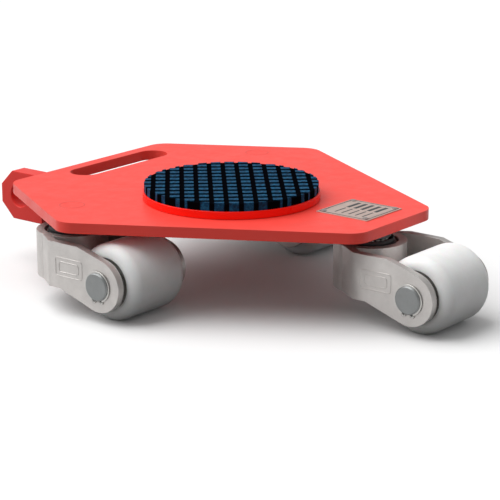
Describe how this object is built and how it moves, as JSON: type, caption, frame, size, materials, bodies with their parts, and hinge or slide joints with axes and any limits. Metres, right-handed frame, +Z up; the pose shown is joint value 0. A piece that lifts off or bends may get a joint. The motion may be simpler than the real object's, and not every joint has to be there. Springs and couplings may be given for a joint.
{
  "type": "furniture dolly",
  "caption": "Low three-caster load dolly with a turning grip pad, a hand slot and a towing eye, for moving heavy furniture and machines.",
  "frame": {"origin": "centre of the grip pad's top face, on the turntable's axis", "axes": "+Z up out of the pad, +Y towards the hand slot and towing eye, +X to the right seen from behind looking along +Y"},
  "size_m": [0.3948, 0.528, 0.11],
  "materials": {
    "deck_paint": "gloss powder coat",
    "eye_paint": "gloss powder coat",
    "disc_paint": "gloss powder coat",
    "pad_rubber": "matt ribbed rubber",
    "fork_steel": "zinc-plated steel",
    "pin_steel": "ground steel",
    "race_steel": "oiled dark steel",
    "roller_nylon": "cast nylon",
    "bronze": "sintered bronze",
    "plate_aluminium": "brushed anodised"
  },
  "bodies": {
    "deck": {"deck_plate": "deck_paint", "tow_eye": "eye_paint", "rating_plate": "plate_aluminium", "rating_plate_rivets": "plate_aluminium", "pivot_bushing": "bronze", "thrust_washer": "bronze", "left_kingpin": "pin_steel", "left_top_race": "race_steel", "left_kingpin_nut": "fork_steel", "rear_kingpin": "pin_steel", "rear_top_race": "race_steel", "rear_kingpin_nut": "fork_steel", "right_kingpin": "pin_steel", "right_top_race": "race_steel", "right_kingpin_nut": "fork_steel"},
    "turntable": {"turntable_disc": "disc_paint", "grip_pad": "pad_rubber", "pivot_pin": "pin_steel", "pivot_washer": "fork_steel", "pivot_nut": "fork_steel"},
    "left_caster": {"left_fork": "fork_steel", "left_hub": "fork_steel", "left_lower_race": "race_steel", "left_swivel_balls": "pin_steel", "left_axle": "pin_steel", "left_circlips": "race_steel", "left_inner_races": "pin_steel", "left_axle_spacers": "race_steel"},
    "rear_caster": {"rear_fork": "fork_steel", "rear_hub": "fork_steel", "rear_lower_race": "race_steel", "rear_swivel_balls": "pin_steel", "rear_axle": "pin_steel", "rear_circlips": "race_steel", "rear_inner_races": "pin_steel", "rear_axle_spacers": "race_steel"},
    "right_caster": {"right_fork": "fork_steel", "right_hub": "fork_steel", "right_lower_race": "race_steel", "right_swivel_balls": "pin_steel", "right_axle": "pin_steel", "right_circlips": "race_steel", "right_inner_races": "pin_steel", "right_axle_spacers": "race_steel"},
    "left_roller": {"left_wheel": "roller_nylon", "left_outer_races": "pin_steel", "left_wheel_balls": "pin_steel"},
    "rear_roller": {"rear_wheel": "roller_nylon", "rear_outer_races": "pin_steel", "rear_wheel_balls": "pin_steel"},
    "right_roller": {"right_wheel": "roller_nylon", "right_outer_races": "pin_steel", "right_wheel_balls": "pin_steel"}
  },
  "joints": [
    {"name": "turntable_spin", "type": "hinge", "parent": "deck", "child": "turntable", "pos_m": [0, 0, -0.0211], "axis": [0, 0, 1], "continuous": true},
    {"name": "left_swivel", "type": "hinge", "parent": "deck", "child": "left_caster", "pos_m": [-0.11833, 0.1027, -0.055], "axis": [0, 0, 1], "continuous": true},
    {"name": "left_wheel_spin", "type": "hinge", "parent": "left_caster", "child": "left_roller", "pos_m": [-0.11833, 0.0257, -0.0728], "axis": [1, 0, 0], "continuous": true},
    {"name": "rear_swivel", "type": "hinge", "parent": "deck", "child": "rear_caster", "pos_m": [0.0263, -0.1478, -0.055], "axis": [0, 0, 1], "continuous": true},
    {"name": "rear_wheel_spin", "type": "hinge", "parent": "rear_caster", "child": "rear_roller", "pos_m": [0.0263, -0.2248, -0.0728], "axis": [1, 0, 0], "continuous": true},
    {"name": "right_swivel", "type": "hinge", "parent": "deck", "child": "right_caster", "pos_m": [0.17093, 0.1027, -0.055], "axis": [0, 0, 1], "continuous": true},
    {"name": "right_wheel_spin", "type": "hinge", "parent": "right_caster", "child": "right_roller", "pos_m": [0.17093, 0.0257, -0.0728], "axis": [1, 0, 0], "continuous": true}
  ]
}
